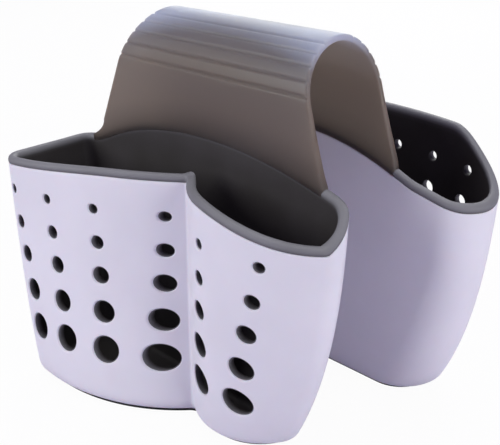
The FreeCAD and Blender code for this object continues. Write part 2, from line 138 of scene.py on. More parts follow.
def front_arcs(z, inset):
    """Centres and radii of the front outline's arcs at height z and inset."""
    a = Group()
    a.inner = tapered("front_inner", z) + inset
    a.far = tapered("front_far", z) + inset
    near = tapered("front_near", z) - inset
    big_radius = tapered("big_lobe_radius", z)
    a.big_x = tapered("big_lobe_crest", z)
    a.big_d = tapered("big_lobe_depth", z) - big_radius
    a.big_r = big_radius - inset
    small_radius = tapered("small_lobe_radius", z)
    a.small_x = tapered("front_near", z) - tapered("small_lobe_reach", z)
    a.small_d = tapered("small_lobe_depth", z) - small_radius
    a.small_r = small_radius - inset
    # near end: one arc that touches the inner wall, the end and the small lobe
    reach = near - a.small_x
    rise = a.inner - a.small_d
    half = rise - reach + a.small_r
    a.end_r = np.sqrt(half ** 2 - reach ** 2 - rise ** 2 + a.small_r ** 2) - half
    a.end_x = near - a.end_r
    a.end_d = a.inner + a.end_r
    a.end_angle = np.arctan2(a.end_d - a.small_d, a.end_x - a.small_x)
    a.end_touch = a.small_x + a.small_r * np.cos(a.end_angle)
    # crease: a hollow arc that touches both lobes from outside
    a.hollow_r = SIZE["crease_radius"] + inset
    far_reach = a.big_r + a.hollow_r
    near_reach = a.small_r + a.hollow_r
    span_x = a.small_x - a.big_x
    span_d = a.small_d - a.big_d
    span = np.hypot(span_x, span_d)
    along = (far_reach ** 2 - near_reach ** 2 + span ** 2) / (2 * span)
    across = np.sqrt(far_reach ** 2 - along ** 2)
    a.hollow_x = a.big_x + (span_x * along - span_d * across) / span
    a.hollow_d = a.big_d + (span_d * along + span_x * across) / span
    a.hollow_far = a.big_x + (a.hollow_x - a.big_x) * a.big_r / far_reach
    a.hollow_near = a.small_x + (a.hollow_x - a.small_x) * a.small_r / near_reach
    # far end: a short wall between two round corners
    a.outer_r = SIZE["front_outer_corner"] - inset
    a.outer_x = a.far + a.outer_r
    a.outer_d = circle_depth(a.outer_x, a.big_x, a.big_d, a.big_r - a.outer_r)
    a.outer_touch = a.big_x + (a.outer_x - a.big_x) * a.big_r / (a.big_r - a.outer_r)
    a.corner_r = SIZE["front_inner_corner"] - inset
    a.corner_x = a.far + a.corner_r
    a.corner_d = a.inner + a.corner_r
    return a


def front_depth(x, z, inset):
    """Depth of the front basket's outer wall: the circle that x falls on, from corner to near end."""
    a = front_arcs(z, inset)
    return np.select(
        [x < a.outer_touch, x < a.hollow_far, x < a.hollow_near, x < a.end_touch],
        [circle_depth(x, a.outer_x, a.outer_d, a.outer_r),
         circle_depth(x, a.big_x, a.big_d, a.big_r),
         circle_depth(x, a.hollow_x, a.hollow_d, a.hollow_r, -1),
         circle_depth(x, a.small_x, a.small_d, a.small_r)],
        circle_depth(x, a.end_x, a.end_d, a.end_r))


def back_arcs(z, inset):
    """Centres and radii of the back outline's arcs at height z and inset."""
    a = Group()
    a.inner = tapered("back_inner", z) + inset
    depth = tapered("back_depth", z)
    wall_radius = tapered("back_radius", z)
    a.wall_d = depth - wall_radius
    a.wall_r = wall_radius - inset
    half = tapered("back_half", z) - inset
    room = (depth - tapered("back_inner", z)) / 2
    a.corner_r = np.minimum(tapered("back_corner", z), room) - inset
    a.corner_reach = half - a.corner_r
    a.corner_d = circle_depth(a.corner_reach, 0, a.wall_d, a.wall_r - a.corner_r)
    a.heel_r = a.corner_d - a.inner
    a.heel_reach = half - a.heel_r
    a.touch_angle = np.arctan2(a.corner_d - a.wall_d, a.corner_reach)
    a.touch_reach = a.wall_r * np.cos(a.touch_angle)
    return a


def back_depth(x, z, inset):
    """Depth of the back basket's outer wall: the long arc, or the end's corner beyond its touch."""
    a = back_arcs(z, inset)
    reach = np.abs(x - SIZE["back_middle"])
    return np.where(reach < a.touch_reach,
                    circle_depth(reach, 0, a.wall_d, a.wall_r),
                    circle_depth(reach, a.corner_reach, a.corner_d, a.corner_r))


print("crease at the rim: x %.1f mm" % front_arcs(SIZE["front_rim"], 0.0).hollow_x)

# %% [markdown]
# ## Top edges
# The shells' top edges rise in a parabola under the strap and sweep down towards the ends. The
# heights are worked out along x, once for the inner wall and once for the outer wall.


# %% Rim heights
def root_height(name, x, shoulder):
    """Inner wall's edge: a parabola p = 1 - t2 under the strap, eased into the shoulder where p < 0."""
    near = SIZE[name + "_root_near"]
    far = SIZE[name + "_root_far"]
    share = 1 - ((2 * x - near - far) / (near - far)) ** 2
    raised = (share + np.hypot(share, SIZE["root_softness"])) / 2
    return shoulder + (SIZE["strap_root"] - shoulder) * raised


def front_heights(x):
    """Front edge: the rim minus a fall to the far end and a fall to the near end."""
    near = SIZE["front_near_rim"] + LIP
    far = LIP - SIZE["front_far_rim"]
    rim = SIZE["front_rim"]
    far_fall = (rim - SIZE["front_rim_far"]) * smooth_step(-x, far - SIZE["front_far_sweep"], far)
    near_fall = (rim - SIZE["front_rim_low"]) * smooth_step(x, near - SIZE["front_rim_sweep"], near)
    return root_height("front", x, rim - far_fall), rim - far_fall - near_fall


def back_heights(x):
    """Back edge: the high middle minus a fall to both ends."""
    reach = np.abs(x - SIZE["back_middle"])
    end = SIZE["back_half_rim"] + LIP
    fall = smooth_step(reach, end - SIZE["back_rim_sweep"], end)
    low = SIZE["back_rim_low"]
    shoulder = SIZE["front_rim"] - (SIZE["front_rim"] - low) * fall
    return root_height("back", x, shoulder), SIZE["back_rim"] - (SIZE["back_rim"] - low) * fall


def rim_height(basket, x, depth):
    """Edge height at a place: the inner height over the inner wall, blended into the outer height."""
    inner, outer = basket.heights(x)
    share = np.clip((depth - basket.inner_rim - BOTH_WALLS) / SIZE["rim_blend"], 0, 1)
    return inner + (outer - inner) * share


far_edge = front_heights(SIZE["front_far_rim"])[1]
near_edge = front_heights(SIZE["front_near_rim"])[1]
print("front edge from %.1f mm at the far end to %.1f mm at the near end" % (far_edge, near_edge))

# %% [markdown]
# ## A wall with drain holes
# A wall with holes could be cut with boolean cylinders, but that leaves ragged faces around each
# hole. Here the outer wall is laid out in cells, one per hole: in each cell, rings of points ease
# from the cell's border into the hole's oval. The points are placed in x and z, and the depth
# function lifts them onto the wall.

# %% Layout of the cells
SIDE_STEPS = 10
LOW_STEPS = 9
TOP_STEPS = 6
ROUND_STEPS = 6
HOLE_RINGS = 6
FILLET_STEPS = 4
STRIP_STEPS = 12
# room in mm beside the outer columns, beside the crease, and below and above the holes
EDGE_REACH = 4.6
EDGE_ROOM = 2.0
WIDE_ROOM = 9.4
NARROW_ROOM = 4.4
CREASE_FAR_ROOM = 0.2
CREASE_NEAR_ROOM = 0.8
LOW_ROOM = 2.2
HIGH_ROOM = 4.0
# shares and powers: how far a border goes round the corner, below the first row, and a ring's ease
CORNER_SHARE = 0.88
LEAST_ROW_SHARE = -0.1
RING_POWER = 1.25
# rounds in which a height and the place that it depends on settle
PANEL_ROUNDS = 3
WRAP_ROUNDS = 4
FOOT_ROUNDS = 8


def row_share(basket, z):
    """0 at the bottom row of holes and 1 at the top row, carried on in a straight line."""
    return (z - HOLE_ROWS[0] - basket.lift) / (HOLE_ROWS[-1] - HOLE_ROWS[0])


def column_x(basket, column, z):
    """Column's place at height z: a straight line through its places at the first and last row."""
    return basket.ends[column] + (basket.tops[column] - basket.ends[column]) * row_share(basket, z)


def border_room(basket, z):
    """Room beside an outer column: wide at the big bottom holes and narrow at the small top ones."""
    return WIDE_ROOM + (NARROW_ROOM - WIDE_ROOM) * np.clip(row_share(basket, z), LEAST_ROW_SHARE, 1)


def middle_x(basket, column, z):
    """Line midway between a column and the next one."""
    return (column_x(basket, column, z) + column_x(basket, column + 1, z)) / 2


def front_borders(basket, z, inset):
    """Lines between the front cells, from the far corner to the near end, with a crease strip."""
    z = np.minimum(z, basket.cell_z[-1])
    a = front_arcs(z, 0.0)
    corner_radius = SIZE["front_outer_corner"] - inset
    near_end = front_arcs(z, inset).end_touch - EDGE_ROOM
    return [
        a.outer_x - np.minimum(EDGE_REACH, CORNER_SHARE * corner_radius),
        middle_x(basket, 0, z), middle_x(basket, 1, z), middle_x(basket, 2, z),
        a.hollow_far - CREASE_FAR_ROOM, a.hollow_near + CREASE_NEAR_ROOM,
        middle_x(basket, 4, z),
        np.minimum(column_x(basket, 5, z) + border_room(basket, z), near_end),
    ]


def back_borders(basket, z, inset):
    """Lines between the back cells, midway between the columns, inside the long outer arc."""
    z = np.minimum(z, basket.cell_z[-1])
    reach = back_arcs(z, inset).touch_reach - EDGE_ROOM
    room = border_room(basket, z)
    far = np.maximum(column_x(basket, 0, z) - room, SIZE["back_middle"] - reach)
    near = np.minimum(column_x(basket, 5, z) + room, SIZE["back_middle"] + reach)
    return [far] + [middle_x(basket, column, z) for column in range(5)] + [near]


def cell_heights(lift):
    """Heights of the lines between the rows of cells, with room below and above the holes."""
    rows = HOLE_ROWS + lift
    between = (rows[:-1] + HOLE_RADII[:-1] + rows[1:] - HOLE_RADII[1:]) / 2
    lowest = rows[0] - HOLE_RADII[0] - LOW_ROOM
    highest = rows[-1] + HIGH_ROOM
    return np.concatenate([[lowest], between, [highest]])


# %% [markdown]
# ### Round the ends
# The rest of each outline runs from the last cell round the near end, along the inner wall and
# round the far end. It is a row of arcs and straight walls, each cut in equal steps.


# %% The wrap round the ends
def arc_point(centre_x, centre_d, radius, start, end, share):
    """Point of an arc at a share of its sweep: centre plus radius times cosine and sine."""
    angle = start + (end - start) * share
    return centre_x + radius * np.cos(angle), centre_d + radius * np.sin(angle)


def line_point(start_x, start_d, end_x, end_d, share):
    """Point of a straight wall at a share of its length."""
    return start_x + (end_x - start_x) * share, start_d + (end_d - start_d) * share


def reach_angle(x, centre_x, radius):
    """Angle at which a circle has this x, on its upper half."""
    return np.arccos(np.clip((x - centre_x) / radius, -1, 1))


def front_wrap(z, inset, share, x_low, x_high):
    """Parts of the front outline: small lobe, near end, inner wall, corner, far end, outer corner."""
    a = front_arcs(z, inset)
    right = math.pi / 2
    near_angle = reach_angle(x_high, a.small_x, a.small_r)
    far_angle = reach_angle(x_low, a.outer_x, a.outer_r)
    return [
        arc_point(a.small_x, a.small_d, a.small_r, near_angle, a.end_angle, share),
        arc_point(a.end_x, a.end_d, a.end_r, a.end_angle, -right, share),
        line_point(a.end_x, a.inner, a.corner_x, a.inner, share),
        arc_point(a.corner_x, a.corner_d, a.corner_r, -right, -2 * right, share),
        line_point(a.far, a.corner_d, a.far, a.outer_d, share),
        arc_point(a.outer_x, a.outer_d, a.outer_r, 2 * right, far_angle, share),
    ]


def back_wrap(z, inset, share, x_low, x_high):
    """Parts of the back outline: wall, corner and heel, inner wall, heel, corner and wall."""
    a = back_arcs(z, inset)
    right = math.pi / 2
    middle = SIZE["back_middle"]
    near_angle = reach_angle(x_high, middle, a.wall_r)
    far_angle = reach_angle(x_low, middle, a.wall_r)
    far_touch = 2 * right - a.touch_angle
    near_heel = middle + a.heel_reach
    far_heel = middle - a.heel_reach
    return [
        arc_point(middle, a.wall_d, a.wall_r, near_angle, a.touch_angle, share),
        arc_point(middle + a.corner_reach, a.corner_d, a.corner_r, a.touch_angle, 0.0, share),
        arc_point(near_heel, a.corner_d, a.heel_r, 0.0, -right, share),
        line_point(near_heel, a.inner, far_heel, a.inner, share),
        arc_point(far_heel, a.corner_d, a.heel_r, -right, -2 * right, share),
        arc_point(middle - a.corner_reach, a.corner_d, a.corner_r, 2 * right, far_touch, share),
        arc_point(middle, a.wall_d, a.wall_r, far_touch, far_angle, share),
    ]


def wrap_layout(steps):
    """Which part each column of the wrap lies on, and its share along that part."""
    part = np.repeat(np.arange(len(steps)), steps)
    share = np.concatenate([np.arange(count) / count for count in steps])
    return np.append(part, len(steps) - 1), np.append(share, 1.0)


def wrap_points(basket, z, inset):
    """Wrap at heights z, rows by columns: all parts are worked out, and each column takes its own."""
    borders = basket.borders(basket, z, inset)
    part, share = basket.layout
    parts = basket.wrap(z, inset, share, borders[0], borders[-1])
    x = np.choose(part, [np.broadcast_to(found[0], z.shape) for found in parts])
    depth = np.choose(part, [np.broadcast_to(found[1], z.shape) for found in parts])
    return x, depth


# %% [markdown]
# ### The two baskets
# Both baskets are made by the same functions. What differs is kept in one group each: the side of
# the gap, the outline's functions, the steps along each part of the wrap, and the columns of holes.

# %% The two baskets
front_basket = Group(
    side=FRONT, depth=front_depth, borders=front_borders, wrap=front_wrap, heights=front_heights,
    layout=wrap_layout((8, 18, 64, 10, 16, 6)), inner_rim=SIZE["front_inner_rim"],
    tops=FRONT_COLUMNS_TOP, ends=FRONT_COLUMNS_END, widths=FRONT_HOLE_WIDTHS,
    lift=0.0, cell_z=cell_heights(0.0), strip=4)
back_basket = Group(
    side=BACK, depth=back_depth, borders=back_borders, wrap=back_wrap, heights=back_heights,
    layout=wrap_layout((8, 14, 14, 60, 14, 14, 8)), inner_rim=SIZE["back_inner_rim"],
    tops=BACK_COLUMNS_TOP, ends=BACK_COLUMNS_END, widths=BACK_HOLE_WIDTHS,
    lift=SIZE["back_row_lift"], cell_z=cell_heights(SIZE["back_row_lift"]), strip=None)
BASKETS = {"front": front_basket, "back": back_basket}
print("front cells between heights", np.round(front_basket.cell_z, 1))

# %% [markdown]
# ## Skins
# A wall piece has an outer and an inner skin at two insets. Each skin is a set of grids: the panel
# below the holes, the cells, the panel above them, and the wrap. Their shared borders are worked
# out from the same lines, so the seams close when the points are merged.


# %% One skin of a basket
def place(basket, x, depth, z):
    """Points in the part's frame: depth counts away from the mid-plane on the basket's side."""
    return np.stack(np.broadcast_arrays(x, basket.side * depth, z), -1)


def panel_lines(basket, z, inset):
    """All x lines across the cells at heights z: each cell's width in equal steps."""
    borders = np.stack(np.broadcast_arrays(*basket.borders(basket, z, inset)), -1)
    runs = [borders[..., :1]]
    for index in range(borders.shape[-1] - 1):
        steps = STRIP_STEPS if index == basket.strip else SIDE_STEPS
        share = np.linspace(0, 1, steps + 1)[1:]
        start = borders[..., index, None]
        runs.append(start + (borders[..., index + 1, None] - start) * share)
    return np.concatenate(runs, -1)


def hole_points(basket, spot, grow):
    """Oval of a hole grown by a margin: x and z from the cosine and sine of each point's angle."""
    centre_z = HOLE_ROWS[spot.row] + basket.lift
    centre_x = column_x(basket, spot.column, centre_z)
    radius = HOLE_RADII[spot.row]
    x = centre_x + (radius * basket.widths[spot.column] + grow) * np.cos(spot.way)
    return x, centre_z + (radius + grow) * np.sin(spot.way)


def cell_patch(basket, index, column, row, inset, hole_round, facing):
    """Rings from a cell's border into its hole, which then roll over the hole's edge."""
    share = np.linspace(0, 1, SIDE_STEPS + 1)
    low, high = basket.cell_z[row], basket.cell_z[row + 1]
    side_z = low + (high - low) * share
    borders = basket.borders(basket, side_z, inset)
    left, right = np.broadcast_arrays(borders[index], borders[index + 1])
    bottom = left[0] + (right[0] - left[0]) * share
    top = left[-1] + (right[-1] - left[-1]) * share
    border_x = np.concatenate([bottom[:-1], right[:-1], top[:0:-1], left[:0:-1]])
    level = np.ones(SIDE_STEPS)
    border_z = np.concatenate([low * level, side_z[:-1], high * level, side_z[:0:-1]])
    centre_z = HOLE_ROWS[row] + basket.lift
    centre_x = column_x(basket, column, centre_z)
    way = np.arctan2(border_z - centre_z, (border_x - centre_x) / basket.widths[column])
    spot = Group(column=column, row=row, way=np.append(way, way[0]))
    border_x = np.append(border_x, border_x[0])
    border_z = np.append(border_z, border_z[0])
    ease = np.linspace(1, 0, HOLE_RINGS + 1)[:, None] ** RING_POWER
    ring_x, ring_z = hole_points(basket, spot, hole_round)
    x = ring_x + (border_x - ring_x) * ease
    z = ring_z + (border_z - ring_z) * ease
    drop = np.zeros_like(ease)
    if hole_round > 0:
        roll = np.linspace(0, math.pi / 2, FILLET_STEPS + 1)[1:, None]
        roll_x, roll_z = hole_points(basket, spot, hole_round * (1 - np.sin(roll)))
        x = np.concatenate([x, roll_x])
        z = np.concatenate([z, roll_z])
        drop = np.concatenate([drop, hole_round * (1 - np.cos(roll))])
    return place(basket, x, basket.depth(x, z, inset) - facing * drop, z), spot


def skin(basket, inset, floor, floor_round, top_lift, hole_round, facing):
    """One skin of a basket: its grids, its hole edges, its rim loop and its floor loop."""
    angle = np.linspace(0, math.pi / 2, ROUND_STEPS + 1)
    round_z = floor + floor_round * (1 - np.cos(angle))
    round_inset = inset + floor_round * (1 - np.sin(angle))
    wall_z = np.linspace(round_z[-1], basket.cell_z[0], LOW_STEPS + 1)[1:]
    low_z = np.concatenate([round_z, wall_z])
    low_inset = np.concatenate([round_inset, np.full(LOW_STEPS, inset)])

    # below the holes
    x = panel_lines(basket, low_z, low_inset)
    low_panel = place(basket, x, basket.depth(x, low_z[:, None], low_inset[:, None]), low_z[:, None])

    # above the holes, up to the edge
    flat = basket.cell_z[-1]
    x = panel_lines(basket, np.array(flat), inset)
    edge = rim_height(basket, x, basket.depth(x, flat, inset)) + top_lift
    rise = np.linspace(0, 1, TOP_STEPS + 1)
    z = flat + (edge - flat) * rise[:, None]
    top_panel = place(basket, x, basket.depth(x, z, inset), z)
    grids = [low_panel, top_panel]

    # cells with a hole each, and the plain strip along the crease
    cell_levels = np.concatenate([np.linspace(*pair, SIDE_STEPS + 1)[:-1]
                                  for pair in zip(basket.cell_z[:-1], basket.cell_z[1:])])
    loops = []
    spots = []
    column = 0
    for index in range(len(basket.borders(basket, low_z, inset)) - 1):
        if index == basket.strip:
            strip_z = np.append(cell_levels, flat)
            lines = basket.borders(basket, strip_z, inset)
            share = np.linspace(0, 1, STRIP_STEPS + 1)
            x = lines[index][:, None] + (lines[index + 1] - lines[index])[:, None] * share
            grids.append(place(basket, x, basket.depth(x, strip_z[:, None], inset), strip_z[:, None]))
            continue
        for row in range(len(HOLE_ROWS)):
            patch, spot = cell_patch(basket, index, column, row, inset, hole_round, facing)
            grids.append(patch)
            loops.append(patch[-1])
            spots.append(spot)
        column += 1

    # round the ends and along the inner wall, whose rows stretch up to the edge above the first cells
    level_inset = np.concatenate([low_inset, np.full(len(cell_levels) + TOP_STEPS, inset)])
    ends = [np.concatenate([low_z[:-1], cell_levels, flat + (edge[which] - flat) * rise])
            for which in (-1, 0)]
    along = np.linspace(0, 1, len(basket.layout[0]))
    level = ends[0][:, None] + (ends[1] - ends[0])[:, None] * along
    hinge = basket.cell_z[1]
    top = level[-1]
    for _ in range(WRAP_ROUNDS):
        stretch = (top - hinge) / (level[-1] - hinge)
        z = np.where(level > hinge, hinge + (level - hinge) * stretch, level)
        x, depth = wrap_points(basket, z, level_inset[:, None])
        top = rim_height(basket, x[-1], depth[-1]) + top_lift
    wrap = place(basket, x, depth, z)
    # the wrap's first and last columns are the panel's own borders
    for column, which in ((0, -1), (-1, 0)):
        x = basket.borders(basket, ends[column], level_inset)[which]
        wrap[:, column] = place(basket, x, basket.depth(x, ends[column], level_inset), ends[column])
    grids.append(wrap)
    return Group(grids=grids, holes=loops, spots=spots,
                 rim=np.concatenate([top_panel[-1], wrap[-1, 1:]]),
                 floor=np.concatenate([low_panel[0], wrap[0, 1:-1]]))


# %% [markdown]
# ## From grids to a closed mesh
# All grids of a piece become one mesh. The seams are merged by distance, the floor loops are closed
# with flat faces, and the rims of two skins are joined by a profile that is carried round the edge.


# %% Mesh helpers
MERGE_M = 4e-6
SLIVER_M = 1e-6


def grid_faces(rows, columns, start):
    """Quads of a grid whose points are numbered row by row from start."""
    index = np.arange(rows * columns).reshape(rows, columns) + start
    corners = [index[:-1, :-1], index[:-1, 1:], index[1:, 1:], index[1:, :-1]]
    return np.stack(corners, -1).reshape(-1, 4)


def build_mesh(name, grids, caps=(), sharp_angle=50.0):
    """Closed mesh from grids in millimetres and flat caps: seams merged, faces turned outwards."""
    points = []
    faces = []
    start = 0
    for grid in grids:
        rows, columns = grid.shape[:2]
        points.append(grid.reshape(-1, 3))
        faces.extend(grid_faces(rows, columns, start).tolist())
        start += rows * columns
    for cap in caps:
        points.append(cap)
        faces.append(list(range(start, start + len(cap))))
        start += len(cap)
    mesh = bpy.data.meshes.new(name)
    mesh.from_pydata((np.concatenate(points) * MM).tolist(), [], faces)
    work = bmesh.new()
    work.from_mesh(mesh)
    bmesh.ops.remove_doubles(work, verts=work.verts, dist=MERGE_M)
    bmesh.ops.dissolve_degenerate(work, edges=work.edges, dist=SLIVER_M)
    bmesh.ops.recalc_face_normals(work, faces=work.faces)
    open_edges = sum(1 for edge in work.edges if len(edge.link_faces) != 2)
    volume = work.calc_volume(signed=True)
    if volume < 0:
        bmesh.ops.reverse_faces(work, faces=work.faces)
    work.to_mesh(mesh)
    work.free()
    mesh.shade_smooth()
    mesh.set_sharp_from_angle(angle=math.radians(sharp_angle))
    made = bpy.data.objects.new(name, mesh)
    bpy.context.scene.collection.objects.link(made)
    print(name, len(mesh.polygons), "faces,", open_edges, "open edges, volume %.1f cm3" % (abs(volume) * 1e6))
    return made


def rim_loop(basket, inset, lift):
    """Loop round the top edge at an inset and a lift, with one point per point of a skin's rim."""
    x = panel_lines(basket, np.array(basket.cell_z[-1]), inset)
    z = np.full_like(x, basket.cell_z[-1])
    for _ in range(PANEL_ROUNDS):
        z = rim_height(basket, x, basket.depth(x, z, inset)) + lift
    panel = place(basket, x, basket.depth(x, z, inset), z)
    z = np.full((1, len(basket.layout[0])), basket.cell_z[-1])
    for _ in range(WRAP_ROUNDS):
        x, depth = wrap_points(basket, z, inset)
        z = rim_height(basket, x, depth) + lift
    wrap = place(basket, *wrap_points(basket, z, inset), z)[0]
    return np.concatenate([panel, wrap[1:-1], panel[:1]])


def wall_piece(name, basket, outer, inner, profile, collar=()):
    """Closed wall: two skins, the profile that joins their rims, and a tube through every hole.

    A collar is a list of (grow, inset) rings that the tube follows between the two skins.
    """
    rims = [rim_loop(basket, inset, lift) for inset, lift in profile]
    rims[0] = outer.rim
    rims[-1] = inner.rim
    grids = outer.grids + inner.grids + [np.stack(rims)]
    for outer_hole, inner_hole, spot in zip(outer.holes, inner.holes, outer.spots):
        rings = [outer_hole]
        for grow, inset in collar:
            x, z = hole_points(basket, spot, grow)
            rings.append(place(basket, x, basket.depth(x, z, inset), z))
        grids.append(np.stack(rings + [inner_hole]))
    return build_mesh(name, grids, [outer.floor, inner.floor])


def set_attribute(piece, name, values):
    """Stores one number per point on a mesh, for its material to read."""
    layer = piece.data.attributes.new(name, "FLOAT", "POINT")
    layer.data.foreach_set("value", np.asarray(values, dtype=np.float32))


def point_array(piece):
    """All points of a mesh in millimetres, one row each."""
    flat = np.empty(3 * len(piece.data.vertices), dtype=np.float32)
    piece.data.vertices.foreach_get("co", flat)
    return flat.reshape(-1, 3) / MM


def declare(piece, node, body):
    """Tells the frame which node a piece stands for, which body carries it."""
    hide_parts(node)
    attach(piece, body)
    pieces[node] = piece


pieces = {}

# %% [markdown]
# ## Shells
# The real shell is one hard moulding with softly rounded drain holes. It could be one skin that a
# modifier thickens, but then the holes' edges would stay sharp. So two skins are built: the outer
# one rolls into each hole with a small radius, and the inner one lies against the liner.

# %% Shells
SHELL_EDGE_ROUND = 0.35
HOLE_EDGE_ROUND = 0.7
for name, basket in BASKETS.items():
    wall = SIZE["shell_wall"]
    base = SIZE["pad_height"]
    outside = skin(basket, 0.0, base, SIZE["bottom_round"], -SHELL_EDGE_ROUND, HOLE_EDGE_ROUND, 1)
    inside = skin(basket, wall, base + wall, SIZE["bottom_round"] - wall, 0.0, 0.0, -1)
    profile = [(0.0, -SHELL_EDGE_ROUND), (0.1, -0.1), (SHELL_EDGE_ROUND, 0.0), (wall, 0.0)]
    shell = wall_piece(name + "_shell_moulding", basket, outside, inside, profile)
    declare(shell, name + "_shell", name + "_basket")

# %% [markdown]
# ## Liners
# The liner is a soft lining of the shell. Its lip sits on the shell's edge as a rounded bead, which
# could be a pipe along the edge, but a pipe would not meet the lining. So the profile goes from the
# shell's edge over a crown and down into the basket. Soft collars line the drain holes nearly up to
# the shell's surface, which is why the holes look dark all through. Inside the basket the liner's
# grey is painted much darker as painted shade, and the collars carry part of that painted shade.

# %% Liners
LINER_GAP = 0.03
LIP_GAP = 0.02
LINER_HOLE_ROUND = 0.4
WALL_MARGIN = 0.1
# bead and collar as (inset, lift) and (grow, inset) in mm
LIP_PROFILE = [(0.45, LIP_GAP), (0.12, 0.2), (0.0, 0.6), (0.0, 1.5), (0.25, 2.3), (0.8, 2.8), (1.9, 3.0),
               (2.9, 2.8), (3.5, 2.3)]
COLLAR = [(-0.04, 0.75), (-0.15, 0.60), (-0.35, 0.60), (-0.45, 0.75)]
# share of the liner's own grey: 0 inside the basket, where it is painted dark as painted shade, and
# 1 on the lip, easing between two heights at the edge; the collars keep part of the painted shade
COLLAR_UNSHADED_SHARE = 0.6
SHADE_EASE_START = -0.5
SHADE_EASE_END = 1.5
for name, basket in BASKETS.items():
    wall = SIZE["shell_wall"] + LINER_GAP
    base = SIZE["pad_height"]
    outside = skin(basket, wall, base + wall, SIZE["bottom_round"] - wall, LIP_GAP, 0.0, 1)
    inside = skin(basket, BOTH_WALLS, base + BOTH_WALLS, SIZE["cavity_round"], 0.0, LINER_HOLE_ROUND, -1)
    profile = [(wall, LIP_GAP)] + LIP_PROFILE + [(BOTH_WALLS, 1.5), (BOTH_WALLS, 0.0)]
    liner = wall_piece(name + "_liner_moulding", basket, outside, inside, profile, COLLAR)
    x, depth, z = point_array(liner).T * np.array([[1], [basket.side], [1]])
    # painted shade: the liner's colour is darkened inside the basket and partly on the hole collars, not on
    # the lip
    lip_unshaded_share = smooth_step(z - rim_height(basket, x, depth), SHADE_EASE_START, SHADE_EASE_END)
    in_shell_wall = basket.depth(x, z, SIZE["shell_wall"] - WALL_MARGIN) < depth
    set_attribute(liner, "unshaded_share", np.maximum(lip_unshaded_share, COLLAR_UNSHADED_SHARE * in_shell_wall))
    declare(liner, name + "_liner", name + "_basket")

# %% [markdown]
# ## Strap
# The strap is a soft arch of even thickness with fine grip grooves over its crown. It could be bent
# from a flat strip, but its feet have to follow the baskets' wavy edges. So it is one grid: a
# rounded ring across the width, carried along the path from the front foot over the crown to the
# back foot. Each foot runs down over the lip to the shell's edge, so that strap and liner look like
# one wall.

# %% Strap sizes and edges
LEG_STEPS = 26
ARCH_STEPS = 220
WIDTH_STEPS = 40
GROOVES_PER_SIDE = 5
GROOVE_WIDTH = 0.55
FOOT_SINK = 2.85
FOOT_EASE = 8.0
FOOT_COVER = 0.06
LEG_POWER = 1.4
SOFT_EDGE_ANGLE = 60.0
# rounded edge from the outer to the inner face, as (mm in from the edge, share of the thickness)
EDGE_ROUND = np.array([(1.3, 1.0), (0.7, 0.99), (0.3, 0.93), (0.08, 0.8), (0.0, 0.6),
                       (0.0, 0.4), (0.08, 0.2), (0.3, 0.07), (0.7, 0.01), (1.3, 0.0)])
CENTRE_Z = SIZE["crown_height"] - SIZE["strap_radius"]
INNER_RADIUS = SIZE["strap_radius"] - SIZE["strap_thickness"]


def strap_side(crown_x, foot_x, power, z):
    """Side edge at height z: a spread to a power from crown to foot, then a squared flare at the foot."""
    outward = 1 if foot_x > crown_x else -1
    foot_z = SIZE["foot_height"]
    spread = np.clip((SIZE["crown_height"] - z) / (SIZE["crown_height"] - foot_z), 0, 1) ** power
    drop = np.maximum(foot_z - z, 0) / (foot_z - SIZE["front_rim"])
    return crown_x + (foot_x - crown_x) * spread + outward * SIZE["foot_fillet"] * drop ** 2


def strap_x(name, z):
    """Ring's x at height z: a share of the width between the far and the near edge."""
    far = strap_side(SIZE["strap_far_edge"], SIZE[name + "_foot_far"], SIZE["far_edge_power"], z)
    near = strap_side(SIZE["strap_near_edge"], SIZE[name + "_foot_near"], SIZE["near_edge_power"], z)
    return far + (near - far) * ring_share + ring_in


def groove_depth(distance):
    """Sum of narrow bell curves across the arch, one per groove, on both sides of the crown."""
    places = SIZE["groove_start"] + SIZE["groove_pitch"] * np.arange(GROOVES_PER_SIDE)
    gap = np.abs(distance)[..., None] - places
    return SIZE["groove_radius"] * np.exp(-(gap / GROOVE_WIDTH) ** 2).sum(-1)


# ring across the width: far edge, outer face, near edge, inner face
across = np.linspace(0, 1, WIDTH_STEPS + 1)[1:-1]
flat = np.zeros(len(across))
corner = len(EDGE_ROUND)
ring_share = np.concatenate([np.zeros(corner), across, np.ones(corner), across[::-1]])
ring_in = np.concatenate([EDGE_ROUND[::-1, 0], flat, -EDGE_ROUND[:, 0], flat])
ring_out = np.concatenate([EDGE_ROUND[::-1, 1], flat + 1, EDGE_ROUND[:, 1], flat])


# %% Legs and arch
def strap_leg(name, basket):
    """Rows of one leg from its foot up, which follows the shell's edge.

    The faces ease outwards at the foot, and below the lip's top the sides run straight down.
    """
    lip_top = np.full_like(ring_share, SIZE["strap_root"])
    for _ in range(FOOT_ROUNDS):
        lip_top = basket.heights(strap_x(name, lip_top))[0] + LIP
    foot_z = lip_top - FOOT_SINK
    rise = np.linspace(0, 1, LEG_STEPS + 1)[:-1, None] ** LEG_POWER
    z = foot_z + (CENTRE_Z - foot_z) * rise
    share = (CENTRE_Z - z) / (CENTRE_Z - SIZE["front_rim_low"])
    ease = smooth_step(z - foot_z, 0, FOOT_EASE)
    gap_face = SIZE["front_inner_rim"]
    basket_face = gap_face + BOTH_WALLS
    gap_side = INNER_RADIUS + (gap_face - INNER_RADIUS) * share
    basket_side = SIZE["strap_radius"] + (basket_face - SIZE["strap_radius"]) * share
    gap_side = gap_face - FOOT_COVER + (gap_side - gap_face + FOOT_COVER) * ease
    basket_side = basket_face + FOOT_COVER + (basket_side - basket_face - FOOT_COVER) * ease
    x = strap_x(name, np.maximum(z, lip_top))
    rows = place(basket, x, gap_side + (basket_side - gap_side) * ring_out, z)
    middle = place(basket, x[0], (gap_side[0] + basket_side[0]) / 2, foot_z)
    return np.concatenate([middle[None], rows])


